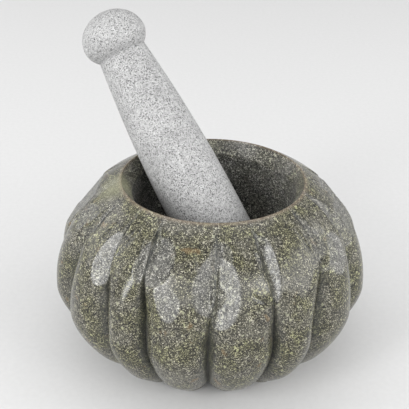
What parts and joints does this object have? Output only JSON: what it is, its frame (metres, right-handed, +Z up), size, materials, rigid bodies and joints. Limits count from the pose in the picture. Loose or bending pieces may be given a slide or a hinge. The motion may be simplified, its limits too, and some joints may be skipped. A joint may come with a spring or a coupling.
{
  "type": "mortar and pestle",
  "caption": "Stone mortar carved outside as a squat ribbed pumpkin with a round bowl, and a loose turned stone pestle that leans on its rim.",
  "frame": {"origin": "centre of the mortar's flat base", "axes": "+Z up out of the bowl, -Y towards the front and +X to the right, so the pestle leans to the back left"},
  "size_m": [0.1579, 0.158, 0.1674],
  "materials": {
    "speckled_granite": "polished green-grey granite with fine cream, olive and black speckle",
    "pale_granite": "honed pale grey granite with fine dark and white speckle"
  },
  "bodies": {
    "mortar": {"mortar": "speckled_granite"},
    "pestle": {"pestle": "pale_granite"}
  },
  "joints": [
    {"name": "lift", "type": "slide", "parent": "mortar", "child": "pestle", "axis": [0, 0, 1], "range_m": [0, 0.08]}
  ]
}
